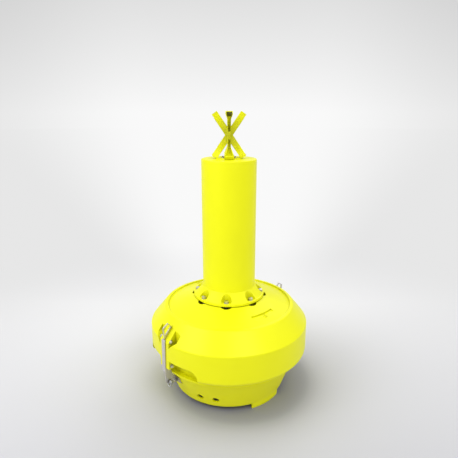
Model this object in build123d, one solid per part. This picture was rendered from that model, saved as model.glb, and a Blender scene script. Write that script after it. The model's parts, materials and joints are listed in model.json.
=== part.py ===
from build123d import *
import math
import os

# A moulded navigation buoy with a tubular tower, standing on its skirt feet.
# Lengths are in millimetres, angles in degrees, +Z is up and z = 0 is the ground.
# The two steel straps stand at +X and -X, the two feet of the skirt at +Y and -Y.
# Insets are measured inward from the float's radius, rises upward from the piece below.

# Tower, with its bolted collar
tower_radius = 200.0
tower_length = 1036.0
tower_edge_round = 9.0
collar_height = 61.0
flange_reach = 71.0
flange_thickness = 18.0
flange_step = 9.0
flange_edge_round = 4.0

# Bolts that hold the tower to the float
tower_bolt_count = 8
tower_bolt_inset = 28.0
tower_bolt_radius = 10.0
tower_bolt_flats = 30.0
tower_bolt_head_height = 13.0
tower_bolt_end_room = 6.0
tower_washer_radius = 18.5
tower_washer_thickness = 3.0
collar_pocket_radius = 38.0
bolt_hole_clearance = 1.0

# Float, a body of revolution from its lip up to the tower seat
hull_radius = 606.0
hull_side_height = 232.0
hull_bilge_height = 35.0
hull_bilge_inset = 37.0
shoulder_inset = 109.0
shoulder_rise = 134.0
rim_width = 24.0
rim_crown = 4.0
rim_wall_batter = 2.0
rim_wall_height = 14.0
seat_rise = 79.0
seat_step = 6.0
crease_round = 14.0
shoulder_round = 12.0
rim_round = 4.0
nut_well_radius = 45.0
nut_well_depth = 36.0

# Flat rest on the float's deck, with its filling plug
deck_pad_edge = 31.0
deck_pad_length = 72.0
deck_pad_half_angle = 15.5
deck_pad_drop = 11.0
plug_radius = 17.0
plug_edge = 28.0
plug_height = 5.0
plug_well_depth = 14.0
plug_clearance = 0.3

# Skirt below the float
lip_height = 40.0
lip_step = 14.5
lip_overhang = 30.0
lip_round = 5.0
skirt_height = 279.0
skirt_flare = 85.0
skirt_toe_inset = 4.0
skirt_wall = 14.0
skirt_ring_reach = 68.0
skirt_ring_thickness = 16.0
foot_height = 45.0
foot_half_angle = 17.5
drain_hole_radius = 26.0
drain_hole_z = 109.0
drain_hole_angles = (22.6, 37.6)
skirt_bolt_count = 8
skirt_bolt_edge = 20.0
skirt_bolt_radius = 6.0
skirt_bolt_flats = 18.0
skirt_bolt_head_height = 8.0
skirt_bolt_first_angle = 22.5

# Ballast under the float
ballast_radius = 235.0
ballast_thickness = 46.0
ballast_bore_radius = 45.0
ballast_edge_round = 5.0
ballast_bolt_count = 4
ballast_bolt_first_angle = 45.0
ballast_bolt_circle_radius = 150.0
ballast_bolt_radius = 10.0
ballast_bolt_flats = 30.0
ballast_bolt_head_height = 13.0

# Pillar and recesses in the float's side, where a strap is bolted
pillar_half_width = 52.0
pillar_top_inset = 3.0
pillar_foot_stand = 1.0
pillar_foot_rise = 27.0
pillar_edge_round = 4.0
pillar_root = 5.0
niche_height = 93.0
niche_sink = 22.0
niche_depth = 90.0
niche_half_width = 289.0
niche_corner_round = 62.0
pocket_half_width = 118.0
pocket_depth = 68.0
pocket_drop = 38.0
pocket_floor_rise = 60.0
slot_depth = 49.0

# Strap, one welded piece: web, outer bar, lifting eye, mooring lug and foot
web_thickness = 10.0
web_deck_clearance = 5.0
web_lip_drop = 14.0
web_foot_drop = 6.0
weld_sink = 2.0
strap_width = 40.0
strap_thickness = 8.0
strap_top_rise = 12.0
strap_bottom_drop = 19.0
strap_top_bevel = 8.0
strap_bottom_bevel = 18.0
strap_clearance = 0.3
eye_section = 9.0
eye_corner_round = 4.0
eye_foot_rise = 15.0
eye_outer_rise = 100.0
eye_outer_lean = 6.0
eye_top_rise = 129.0
eye_top_inset = 40.0
eye_inner_inset = 71.0
lug_tip_drop = 66.0
lug_tip_inset = 4.0
lug_bevel_length = 20.0
lug_bevel_height = 16.0
lug_foot_drop = 99.0
lug_hole_radius = 11.0
lug_hole_inset = 64.0
lug_hole_drop = 69.0
strap_bolt_inset = 26.0
strap_upper_bolt_rise = 6.0
strap_lower_bolt_rise = 49.0
strap_bolt_radius = 8.0
strap_bolt_flats = 24.0
strap_nut_height = 13.0
strap_washer_radius = 15.0
strap_washer_thickness = 2.5
strap_foot_half_width = 36.0
strap_foot_drop = 103.0
strap_foot_height = 56.0
strap_foot_thickness = 8.0
strap_foot_boss = 3.0
boss_margin = 6.0
foot_bolt_y = 23.0
foot_bolt_radius = 6.0
foot_bolt_flats = 18.0
foot_bolt_head_height = 8.0

# Mooring shackle
shackle_pin_inset = 34.0
shackle_pin_drop = 65.0
shackle_pin_radius = 8.0
shackle_rod_radius = 6.5
shackle_gap = 21.0
shackle_leg = 28.0
shackle_eye_radius = 14.5
shackle_eye_length = 14.0
shackle_head_radius = 13.0
shackle_head_length = 6.0
shackle_nut_flats = 24.0
shackle_nut_length = 10.0
pin_clearance = 0.3

# Topmark, two crosses at a right angle on a round foot plate
topmark_height = 328.0
topmark_arm_width = 46.0
topmark_arm_lean = 34.5
topmark_turn = 51.0
topmark_arm_half = 12.0
topmark_foot_half = 36.0
topmark_foot_flare = 80.0
topmark_top_half = 26.0
topmark_top_flare = 20.0
topmark_end_wall = 4.5
topmark_end_depth = 60.0
topmark_edge_round = 4.0
topmark_plate_edge = 3.0
topmark_plate_thickness = 7.0
topmark_bolt_edge = 30.0
topmark_bolt_count = 4
topmark_bolt_first_angle = 45.0
topmark_bolt_radius = 5.0
topmark_bolt_clearance = 0.2
topmark_bolt_flats = 16.0
topmark_bolt_head_height = 7.0

# How far a cutting body reaches past what it cuts, and a cut that runs right out
overcut = 1.0
big = 2000.0

# Heights that follow from the sizes above
lip_bottom_z = skirt_height
hull_base_z = lip_bottom_z + lip_height
ring_bottom_z = hull_base_z - skirt_ring_thickness
hull_bilge_z = hull_base_z + hull_bilge_height
hull_crease_z = hull_base_z + hull_side_height
shoulder_z = hull_crease_z + shoulder_rise
rim_z = shoulder_z + rim_crown
deck_edge_z = rim_z - rim_wall_height
seat_z = deck_edge_z + seat_rise
rim_top_z = seat_z + flange_thickness
tower_top_z = seat_z + tower_length
niche_top_z = hull_base_z + niche_height
niche_floor_z = hull_base_z - niche_sink
pillar_foot_z = hull_base_z + pillar_foot_rise
pocket_floor_low_z = hull_crease_z - pocket_drop
pocket_floor_high_z = pocket_floor_low_z + pocket_floor_rise
strap_top_z = hull_crease_z + strap_top_rise
strap_bottom_z = hull_base_z - strap_bottom_drop
strap_bolt_z = (hull_crease_z + strap_upper_bolt_rise, hull_base_z + strap_lower_bolt_rise)
strap_foot_low_z = skirt_height - strap_foot_drop
strap_foot_high_z = strap_foot_low_z + strap_foot_height
lug_foot_z = skirt_height - lug_foot_drop
lug_tip_z = skirt_height - lug_tip_drop
lug_hole_z = skirt_height - lug_hole_drop
shackle_pin_z = skirt_height - shackle_pin_drop

# Radii and distances from the middle that follow
flange_radius = tower_radius + flange_reach
seat_radius = flange_radius - flange_step
tower_bolt_circle_radius = flange_radius - tower_bolt_inset
shoulder_radius = hull_radius - shoulder_inset
rim_radius = shoulder_radius - rim_width
deck_edge_radius = rim_radius - rim_wall_batter
deck_pad_outer_radius = deck_edge_radius - deck_pad_edge
deck_pad_inner_radius = deck_pad_outer_radius - deck_pad_length
plug_circle_radius = deck_pad_inner_radius + plug_edge
hull_base_radius = hull_radius - hull_bilge_inset
lip_radius = hull_base_radius - lip_step
skirt_top_radius = lip_radius - lip_overhang
skirt_foot_radius = skirt_top_radius - skirt_flare
skirt_toe_radius = skirt_foot_radius - skirt_toe_inset
skirt_ring_inner_radius = skirt_top_radius - skirt_ring_reach
skirt_bolt_circle_radius = skirt_ring_inner_radius + skirt_bolt_edge
pillar_top_x = hull_radius - pillar_top_inset
pillar_foot_x = hull_radius + pillar_foot_stand
pocket_back_x = hull_radius - pocket_depth
slot_inner_x = hull_radius - slot_depth
strap_bolt_x = hull_radius - strap_bolt_inset
lug_tip_x = hull_radius - lug_tip_inset
lug_hole_x = hull_radius - lug_hole_inset
shackle_pin_x = hull_radius - shackle_pin_inset

# Half length of a topmark bar, and the plate that its feet stand on
lean_sine = math.sin(math.radians(topmark_arm_lean))
lean_cosine = math.cos(math.radians(topmark_arm_lean))
bar_flat_half = topmark_arm_width / 2 - topmark_edge_round
bar_rise = topmark_height / 2 - topmark_edge_round - bar_flat_half * lean_sine
topmark_reach = bar_rise / lean_cosine + topmark_edge_round
topmark_foot_x = bar_rise * lean_sine / lean_cosine - bar_flat_half * lean_cosine
topmark_plate_radius = topmark_foot_x + topmark_plate_edge
topmark_bolt_circle_radius = topmark_plate_radius - topmark_bolt_edge

# Sloping faces that other pieces follow
deck_slope = (seat_z - seat_step - deck_edge_z) / (deck_edge_radius - flange_radius)
shoulder_slope = shoulder_rise / shoulder_inset
skirt_slope = skirt_flare / (skirt_height - foot_height)
skirt_tilt = math.degrees(math.atan(skirt_slope))
skirt_wall_across = skirt_wall / math.cos(math.radians(skirt_tilt))


def deck_z(radius):
    return deck_edge_z + deck_slope * (deck_edge_radius - radius)


def shoulder_slope_z(radius):
    return hull_crease_z + shoulder_slope * (hull_radius - radius)


def skirt_radius(z):
    return skirt_foot_radius + skirt_slope * (z - foot_height)


def pillar_x(z):
    share = (hull_crease_z - z) / (hull_crease_z - pillar_foot_z)
    return pillar_top_x + share * (pillar_foot_x - pillar_top_x)


pad_floor_z = deck_z(deck_pad_inner_radius) - deck_pad_drop

# Places of the strap bolts' nuts, along Y from the pillar's side
nut_near_y = pillar_half_width + strap_washer_thickness
nut_far_y = nut_near_y + strap_nut_height


def turned(outline):
    """Solid of revolution about the Z axis from an outline drawn in X and Z."""
    return revolve(Plane.XZ * outline, axis=Axis.Z)


def vertices_at(outline, points):
    """The outline's corners that lie at the given points."""
    return [v for v in outline.vertices() for p in points if math.hypot(v.X - p[0], v.Y - p[1]) < 0.01]


def rod(radius, low, high, x=0.0, y=0.0):
    """Upright cylinder between two heights."""
    return Pos(x, y, (low + high) / 2) * Cylinder(radius, high - low)


def hexagon(flats, low, high, x=0.0, y=0.0):
    """Upright hexagonal prism between two heights."""
    return Pos(x, y, low) * extrude(RegularPolygon(flats / 2, 6, major_radius=False), high - low)


def around(shape, count, first=0.0):
    """Copies of a shape, evenly spaced about the Z axis."""
    return [Rot(0, 0, first + 360.0 * n / count) * shape for n in range(count)]


def plate_in_xz(outline, half_width):
    """Plate of an outline drawn in X and Z, as thick on both sides of the XZ plane."""
    return extrude(Plane.XZ * outline, half_width, both=True)


def sector(inner_radius, outer_radius, low, high, centre_angle, half_angle):
    """Part of an upright ring, centred on an angle about the Z axis."""
    outline = Pos((inner_radius + outer_radius) / 2, (low + high) / 2) * Rectangle(
        outer_radius - inner_radius, high - low
    )
    return Rot(0, 0, centre_angle - half_angle) * revolve(
        Plane.XZ * outline, axis=Axis.Z, revolution_arc=2 * half_angle
    )


def opposite(shape):
    """The same piece on the other side of the buoy."""
    return Rot(0, 0, 180) * shape


def make_hull():
    crease = (hull_radius, hull_crease_z)
    shoulder = (shoulder_radius, shoulder_z)
    rim = (rim_radius, rim_z)
    deck_edge = (deck_edge_radius, deck_edge_z)
    edge = [
        Line((0, hull_base_z), (hull_base_radius, hull_base_z)),
        TangentArc((hull_radius, hull_bilge_z), (hull_base_radius, hull_base_z), tangent=(0, -1)),
        Polyline(
            (hull_radius, hull_bilge_z),
            crease,
            shoulder,
            rim,
            deck_edge,
            (flange_radius, seat_z - seat_step),
            (seat_radius, seat_z - seat_step),
            (seat_radius, seat_z),
            (0, seat_z),
            (0, hull_base_z),
        ),
    ]
    outline = make_face(Curve() + edge)
    outline = fillet(vertices_at(outline, [crease]), crease_round)
    outline = fillet(vertices_at(outline, [shoulder]), shoulder_round)
    outline = fillet(vertices_at(outline, [rim, deck_edge]), rim_round)
    hull = turned(outline)

    well = rod(nut_well_radius, seat_z - nut_well_depth, seat_z + overcut, tower_bolt_circle_radius)
    for cut in around(well, tower_bolt_count):
        hull -= cut

    for angle in (90, -90):
        hull -= sector(
            deck_pad_inner_radius, deck_pad_outer_radius, pad_floor_z, seat_z, angle, deck_pad_half_angle
        )
        hull -= Rot(0, 0, angle) * rod(
            plug_radius, pad_floor_z - plug_well_depth, seat_z, plug_circle_radius
        )

    side = strap_niche() + strap_pocket()
    seat = strap_seat()
    block = strap_pillar()
    for piece in (side, opposite(side), seat, opposite(seat)):
        hull -= piece
    for piece in (block, opposite(block)):
        hull += piece
    slot = strap_slot()
    for piece in (slot, opposite(slot)):
        hull -= piece
    return hull


def strap_niche():
    """Wide niche low in the float's side and in the top of the lip, behind the strap's foot."""
    middle_z = (niche_floor_z + niche_top_z) / 2
    mouth = Pos(0, middle_z) * Rectangle(2 * niche_half_width, niche_top_z - niche_floor_z)
    mouth = fillet(mouth.vertices().group_by(Axis.Y)[-1], niche_corner_round)
    niche = extrude(Plane.YZ * mouth, hull_radius + niche_depth)
    return niche - rod(hull_radius - niche_depth, 0, niche_top_z + overcut)


def strap_pocket():
    """Pocket in the shoulder on both sides of the pillar, its floor rising away from the pillar."""
    mouth = Polygon(
        (0, pocket_floor_low_z),
        (pillar_half_width, pocket_floor_low_z),
        (pocket_half_width, pocket_floor_high_z),
        (pocket_half_width, seat_z),
        (-pocket_half_width, seat_z),
        (-pocket_half_width, pocket_floor_high_z),
        (-pillar_half_width, pocket_floor_low_z),
        align=None,
    )
    return Pos(pocket_back_x, 0, 0) * extrude(Plane.YZ * mouth, pocket_depth + niche_depth)


def strap_seat():
    """Flat facing on the float's round side, between niche and pocket, that the strap lies on."""
    face = Polygon(
        (pillar_x(pillar_foot_z), pillar_foot_z),
        (pillar_x(hull_crease_z), hull_crease_z),
        (hull_radius + niche_depth, hull_crease_z),
        (hull_radius + niche_depth, pillar_foot_z),
        align=None,
    )
    return plate_in_xz(face, pillar_half_width)


def strap_pillar():
    """Upright rib between the recesses, on which the strap sits."""
    root_x = hull_radius - niche_depth - 2 * pillar_root
    top_x = pocket_back_x - pillar_root
    top_z = shoulder_slope_z(top_x) - pillar_root / 2
    face = Polygon(
        (root_x, pillar_foot_z),
        (pillar_x(pillar_foot_z), pillar_foot_z),
        (pillar_x(hull_crease_z), hull_crease_z),
        (top_x, top_z),
        (root_x, top_z),
        align=None,
    )
    pillar = plate_in_xz(face, pillar_half_width)
    front = pillar.edges().filter_by(lambda e: abs(e.center().Y) > pillar_half_width - 1)
    front = front.filter_by(lambda e: e.center().X > slot_inner_x)
    return fillet(front, pillar_edge_round)


def strap_slot():
    """Slot in the pillar for the strap's web, with the bolts' bores across it."""
    half = web_thickness / 2 + strap_clearance
    slot = Pos(slot_inner_x + big / 2, 0, hull_base_z + big / 2) * Box(big, 2 * half, big)
    for z in strap_bolt_z:
        slot += Pos(strap_bolt_x, 0, z) * Rot(90, 0, 0) * Cylinder(
            strap_bolt_radius + bolt_hole_clearance / 2, 2 * (pillar_half_width + overcut)
        )
    return slot


def make_skirt():
    inner_top = skirt_top_radius - skirt_wall_across
    inner_foot = skirt_foot_radius - skirt_wall_across
    outline = Polygon(
        (skirt_ring_inner_radius, hull_base_z),
        (lip_radius, hull_base_z),
        (lip_radius, lip_bottom_z),
        (skirt_top_radius, lip_bottom_z),
        (skirt_foot_radius, foot_height),
        (skirt_toe_radius, 0),
        (skirt_toe_radius - skirt_wall_across, 0),
        (inner_foot, foot_height),
        (inner_top, lip_bottom_z),
        (inner_top, ring_bottom_z),
        (skirt_ring_inner_radius, ring_bottom_z),
        align=None,
    )
    outline = fillet(vertices_at(outline, [(lip_radius, lip_bottom_z)]), lip_round)
    skirt = turned(outline)
    for angle in (0, 180):
        skirt -= sector(
            skirt_ring_inner_radius / 2, lip_radius, -overcut, foot_height, angle, 90 - foot_half_angle
        )

    niche = strap_niche()
    for piece in (niche, opposite(niche)):
        skirt -= piece
    boss = foot_boss()
    for piece in (boss, opposite(boss)):
        skirt += piece

    hole = Pos(skirt_radius(drain_hole_z), 0, drain_hole_z) * Rot(0, 90 + skirt_tilt, 0) * Cylinder(
        drain_hole_radius, 6 * skirt_wall
    )
    for side in (0, 180):
        for angle in drain_hole_angles:
            skirt -= Rot(0, 0, side + angle) * hole
            skirt -= Rot(0, 0, side - angle) * hole

    bolt_bore = rod(
        skirt_bolt_radius + bolt_hole_clearance / 2,
        ring_bottom_z - overcut,
        hull_base_z + overcut,
        skirt_bolt_circle_radius,
    )
    for cut in around(bolt_bore, skirt_bolt_count, skirt_bolt_first_angle):
        skirt -= cut
    for y in (foot_bolt_y, -foot_bolt_y):
        cut = foot_bolt_frame(y) * Cylinder(foot_bolt_radius + bolt_hole_clearance / 2, 8 * skirt_wall)
        skirt -= cut
        skirt -= opposite(cut)
    return skirt


def foot_boss():
    """Flat pad on the skirt under the strap's foot."""
    low = strap_foot_low_z - boss_margin
    high = strap_foot_high_z + boss_margin
    face = Polygon(
        (skirt_radius(low) - skirt_wall / 2, low),
        (skirt_radius(low) + strap_foot_boss, low),
        (skirt_radius(high) + strap_foot_boss, high),
        (skirt_radius(high) - skirt_wall / 2, high),
        align=None,
    )
    return plate_in_xz(face, strap_foot_half_width + boss_margin)


def foot_bolt_frame(y):
    """Place of a foot bolt on the pad, its Z axis outward, square to the skirt's wall."""
    middle = (strap_foot_low_z + strap_foot_high_z) / 2
    return Pos(skirt_radius(middle) + strap_foot_boss, y, middle) * Rot(0, 90 + skirt_tilt, 0)


def make_ballast():
    top = hull_base_z
    ballast = rod(ballast_radius, top - ballast_thickness, top)
    ballast = fillet(ballast.edges().filter_by(GeomType.CIRCLE).sort_by(Axis.Z)[0], ballast_edge_round)
    ballast -= rod(ballast_bore_radius, 0, top + overcut)
    bore = rod(ballast_bolt_radius + bolt_hole_clearance, 0, top + overcut, ballast_bolt_circle_radius)
    for cut in around(bore, ballast_bolt_count, ballast_bolt_first_angle):
        ballast -= cut
    return ballast


def make_ballast_bolts():
    under = hull_base_z - ballast_thickness
    bolt = hexagon(
        ballast_bolt_flats, under - ballast_bolt_head_height, under, ballast_bolt_circle_radius
    )
    bolt += rod(ballast_bolt_radius, under - overcut, hull_base_z, ballast_bolt_circle_radius)
    return Compound(children=around(bolt, ballast_bolt_count, ballast_bolt_first_angle))


def make_skirt_bolts():
    head_low = ring_bottom_z - skirt_bolt_head_height
    bolt = hexagon(skirt_bolt_flats, head_low, ring_bottom_z, skirt_bolt_circle_radius)
    bolt += rod(skirt_bolt_radius, ring_bottom_z - overcut, hull_base_z, skirt_bolt_circle_radius)
    return Compound(children=around(bolt, skirt_bolt_count, skirt_bolt_first_angle))


def make_tower():
    top_edge = (tower_radius, tower_top_z)
    rim_edge = (flange_radius, rim_top_z)
    outline = Polygon(
        (0, seat_z),
        (flange_radius, seat_z),
        rim_edge,
        (flange_radius - flange_step, rim_top_z),
        (tower_radius, rim_top_z + collar_height),
        top_edge,
        (0, tower_top_z),
        align=None,
    )
    outline = fillet(vertices_at(outline, [top_edge]), tower_edge_round)
    outline = fillet(vertices_at(outline, [rim_edge]), flange_edge_round)
    tower = turned(outline)
    pocket = rod(
        collar_pocket_radius, rim_top_z, rim_top_z + collar_height + overcut, tower_bolt_circle_radius
    )
    pocket += rod(
        tower_bolt_radius + bolt_hole_clearance,
        seat_z - overcut,
        rim_top_z + overcut,
        tower_bolt_circle_radius,
    )
    for cut in around(pocket, tower_bolt_count):
        tower -= cut
    return tower


def make_tower_bolts():
    """Bolt, washers and nut of each hole in the tower's flange."""
    head_low = rim_top_z + tower_washer_thickness
    bolt = rod(tower_washer_radius, rim_top_z, head_low)
    bolt += hexagon(tower_bolt_flats, head_low, head_low + tower_bolt_head_height)
    bolt += rod(tower_bolt_radius, seat_z - nut_well_depth + tower_bolt_end_room, head_low)
    bolt += rod(tower_washer_radius, seat_z - tower_washer_thickness, seat_z)
    nut_top = seat_z - tower_washer_thickness
    bolt += hexagon(tower_bolt_flats, nut_top - tower_bolt_head_height, nut_top)
    return Compound(children=around(Pos(tower_bolt_circle_radius, 0, 0) * bolt, tower_bolt_count))


def make_deck_plugs():
    plug = rod(
        plug_radius - plug_clearance,
        pad_floor_z - plug_well_depth,
        pad_floor_z + plug_height,
        plug_circle_radius,
    )
    return Compound(children=around(plug, 2, 90))


def make_strap():
    """Strap of the +X side, one welded piece."""
    inner = slot_inner_x + strap_clearance
    lip_x = lip_radius + strap_clearance
    foot_out = strap_foot_boss + strap_foot_thickness
    outer_top = pillar_x(hull_crease_z) + strap_clearance
    eye_inner_x = hull_radius - eye_inner_inset
    eye = [
        (outer_top, hull_crease_z + eye_foot_rise),
        (outer_top + eye_outer_lean, hull_crease_z + eye_outer_rise),
        (hull_radius - eye_top_inset, hull_crease_z + eye_top_rise),
        (eye_inner_x, shoulder_slope_z(eye_inner_x) + web_deck_clearance),
    ]
    web_face = Polygon(
        (skirt_radius(lug_foot_z) + foot_out - weld_sink, lug_foot_z),
        (lug_tip_x - lug_bevel_length, lug_tip_z - lug_bevel_height),
        (lug_tip_x, lug_tip_z),
        (pillar_x(strap_bottom_z) + strap_clearance, strap_bottom_z),
        *eye,
        (inner, shoulder_slope_z(inner) + web_deck_clearance),
        (inner, hull_base_z - strap_clearance),
        (lip_x, hull_base_z - strap_clearance),
        (lip_x, lip_bottom_z - web_lip_drop),
        (skirt_radius(strap_foot_high_z) + foot_out - weld_sink, strap_foot_high_z - web_foot_drop),
        align=None,
    )
    web_face = fillet(vertices_at(web_face, [eye[1], eye[2], eye[3]]), eye_section / 2)
    hole = offset(Polygon(*eye, align=None), -eye_section, kind=Kind.INTERSECTION)
    hole = fillet(hole.vertices(), eye_corner_round)
    strap = plate_in_xz(web_face - hole, web_thickness / 2)

    near_top = pillar_x(strap_top_z) + strap_clearance
    near_bottom = pillar_x(strap_bottom_z) + strap_clearance
    bar_face = Polygon(
        (near_top, strap_top_z),
        (near_top + strap_thickness / 2, strap_top_z),
        (near_top + strap_thickness, strap_top_z - strap_top_bevel),
        (near_bottom + strap_thickness, strap_bottom_z + strap_bottom_bevel),
        (near_bottom, strap_bottom_z),
        align=None,
    )
    strap += plate_in_xz(bar_face, strap_width / 2)

    low, high = strap_foot_low_z, strap_foot_high_z
    out = strap_foot_boss + strap_clearance
    foot_face = Polygon(
        (skirt_radius(low) + out, low),
        (skirt_radius(low) + foot_out, low),
        (skirt_radius(high) + foot_out, high),
        (skirt_radius(high) + out, high),
        align=None,
    )
    strap += plate_in_xz(foot_face, strap_foot_half_width)

    for z in strap_bolt_z:
        strap -= Pos(strap_bolt_x, 0, z) * Rot(90, 0, 0) * Cylinder(
            strap_bolt_radius + bolt_hole_clearance / 2, web_thickness + 2 * overcut
        )
    for x, z, radius in (
        (shackle_pin_x, shackle_pin_z, shackle_pin_radius + pin_clearance),
        (lug_hole_x, lug_hole_z, lug_hole_radius),
    ):
        strap -= Pos(x, 0, z) * Rot(90, 0, 0) * Cylinder(radius, web_thickness + 2 * overcut)
    for y in (foot_bolt_y, -foot_bolt_y):
        strap -= foot_bolt_frame(y) * Cylinder(foot_bolt_radius + bolt_hole_clearance / 2, 4 * skirt_wall)
    return strap


def make_strap_bolts():
    """The two bolts across the pillar, with their washers and nuts."""
    bolts = []
    for z in strap_bolt_z:
        bolt = Cylinder(strap_bolt_radius, 2 * nut_far_y)
        for side in (1, -1):
            washer = Pos(0, 0, side * (nut_near_y + pillar_half_width) / 2) * Cylinder(
                strap_washer_radius, strap_washer_thickness
            )
            nut = Pos(0, 0, side * nut_near_y) * extrude(
                RegularPolygon(strap_bolt_flats / 2, 6, major_radius=False), side * strap_nut_height
            )
            bolt += washer
            bolt += nut
        bolts.append(Pos(strap_bolt_x, 0, z) * Rot(90, 0, 0) * bolt)
    return Compound(children=bolts)


def make_foot_bolts():
    bolts = []
    for y in (foot_bolt_y, -foot_bolt_y):
        seat = strap_foot_thickness * math.cos(math.radians(skirt_tilt))
        bolt = Pos(0, 0, seat) * extrude(
            RegularPolygon(foot_bolt_flats / 2, 6, major_radius=False), foot_bolt_head_height
        )
        bolt += Pos(0, 0, (seat - 2 * skirt_wall) / 2) * Cylinder(foot_bolt_radius, seat + 2 * skirt_wall)
        bolts.append(foot_bolt_frame(y) * bolt)
    return Compound(children=bolts)


def make_shackle_bow():
    leg_y = (shackle_gap + shackle_eye_length) / 2
    path = Curve() + [
        Line((leg_y, 0), (leg_y, -shackle_leg)),
        TangentArc((leg_y, -shackle_leg), (-leg_y, -shackle_leg), tangent=(0, -1)),
        Line((-leg_y, -shackle_leg), (-leg_y, 0)),
    ]
    path = Plane.YZ * path
    section = Pos(0, leg_y, 0) * Circle(shackle_rod_radius)
    bow = sweep(section, path=Wire(path.edges()))
    for side in (1, -1):
        bow += Pos(0, side * leg_y, 0) * Rot(90, 0, 0) * Cylinder(shackle_eye_radius, shackle_eye_length)
    bow -= Rot(90, 0, 0) * Cylinder(shackle_pin_radius + pin_clearance, 2 * (leg_y + shackle_eye_length))
    return Pos(shackle_pin_x, 0, shackle_pin_z) * bow


def make_shackle_pin():
    side_y = shackle_gap / 2 + shackle_eye_length + pin_clearance
    pin = Cylinder(shackle_pin_radius, 2 * side_y)
    pin += Pos(0, 0, side_y + shackle_head_length / 2) * Cylinder(shackle_head_radius, shackle_head_length)
    pin += Pos(0, 0, -side_y) * extrude(
        RegularPolygon(shackle_nut_flats / 2, 6, major_radius=False), -shackle_nut_length
    )
    return Pos(shackle_pin_x, 0, shackle_pin_z) * Rot(90, 0, 0) * pin


def make_topmark():
    """Two crosses of flared bars, cut square at their ends, on a round plate."""
    top = topmark_reach
    low = topmark_foot_flare - topmark_reach
    high = topmark_reach - topmark_top_flare
    edge = [
        Polyline((0, -top), (topmark_foot_half, -top)),
        TangentArc((topmark_arm_half, low), (topmark_foot_half, -top), tangent=(0, -1)),
        Line((topmark_arm_half, low), (topmark_arm_half, high)),
        TangentArc((topmark_arm_half, high), (topmark_top_half, top), tangent=(0, 1)),
        Polyline((topmark_top_half, top), (0, top), (0, -top)),
    ]
    half_bar = extrude(Plane.YZ * make_face(Curve() + edge), topmark_arm_width / 2, both=True)
    bar = half_bar + mirror(half_bar, about=Plane.XZ)
    bar = fillet(bar.edges(), topmark_edge_round)
    bar -= bar_pocket()
    cross = Rot(0, topmark_arm_lean, 0) * bar + Rot(0, -topmark_arm_lean, 0) * bar
    topmark = Pos(0, 0, topmark_height / 2) * (cross + Rot(0, 0, 90) * cross)
    topmark += rod(topmark_plate_radius, 0, topmark_plate_thickness)
    bore = rod(topmark_bolt_radius, -overcut, 3 * topmark_plate_thickness, topmark_bolt_circle_radius)
    for cut in around(bore, topmark_bolt_count, topmark_bolt_first_angle):
        topmark -= cut
    return Pos(0, 0, tower_top_z) * Rot(0, 0, topmark_turn) * topmark


def bar_pocket():
    """Hollow in the flared top end of a topmark bar."""
    top = topmark_reach
    high = topmark_reach - topmark_top_flare
    low = topmark_reach - topmark_end_depth
    narrow = topmark_arm_half - topmark_end_wall
    wide = topmark_top_half - topmark_end_wall
    edge = [
        Polyline((0, top), (0, low), (narrow, low), (narrow, high)),
        TangentArc((narrow, high), (wide, top), tangent=(0, 1)),
        Line((wide, top), (0, top)),
    ]
    half = extrude(
        Plane.YZ * make_face(Curve() + edge), topmark_arm_width / 2 - topmark_end_wall, both=True
    )
    return half + mirror(half, about=Plane.XZ)


def make_topmark_bolts():
    bolt = hexagon(
        topmark_bolt_flats,
        topmark_plate_thickness,
        topmark_plate_thickness + topmark_bolt_head_height,
        topmark_bolt_circle_radius,
    )
    bolt += rod(
        topmark_bolt_radius - topmark_bolt_clearance,
        0,
        topmark_plate_thickness + overcut,
        topmark_bolt_circle_radius,
    )
    bolts = around(bolt, topmark_bolt_count, topmark_bolt_first_angle)
    return Compound(children=[Pos(0, 0, tower_top_z) * Rot(0, 0, topmark_turn) * b for b in bolts])


parts = {
    "float_hull": make_hull(),
    "base_skirt": make_skirt(),
    "skirt_bolts": make_skirt_bolts(),
    "ballast_weight": make_ballast(),
    "ballast_bolts": make_ballast_bolts(),
    "deck_plugs": make_deck_plugs(),
    "tower": make_tower(),
    "tower_bolts": make_tower_bolts(),
    "topmark": make_topmark(),
    "topmark_bolts": make_topmark_bolts(),
}
sided = {
    "strap": make_strap(),
    "strap_bolts": make_strap_bolts(),
    "strap_foot_bolts": make_foot_bolts(),
    "shackle_bow": make_shackle_bow(),
    "shackle_pin": make_shackle_pin(),
}
for name, shape in sided.items():
    parts[name + "_right"] = shape
    parts[name + "_left"] = opposite(shape)

os.makedirs("parts", exist_ok=True)
for name, shape in parts.items():
    export_step(shape, f"parts/{name}.step")
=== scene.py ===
import json
import math

import bpy
from bpy.props import FloatProperty, FloatVectorProperty, PointerProperty
from mathutils import Matrix, Vector

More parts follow.
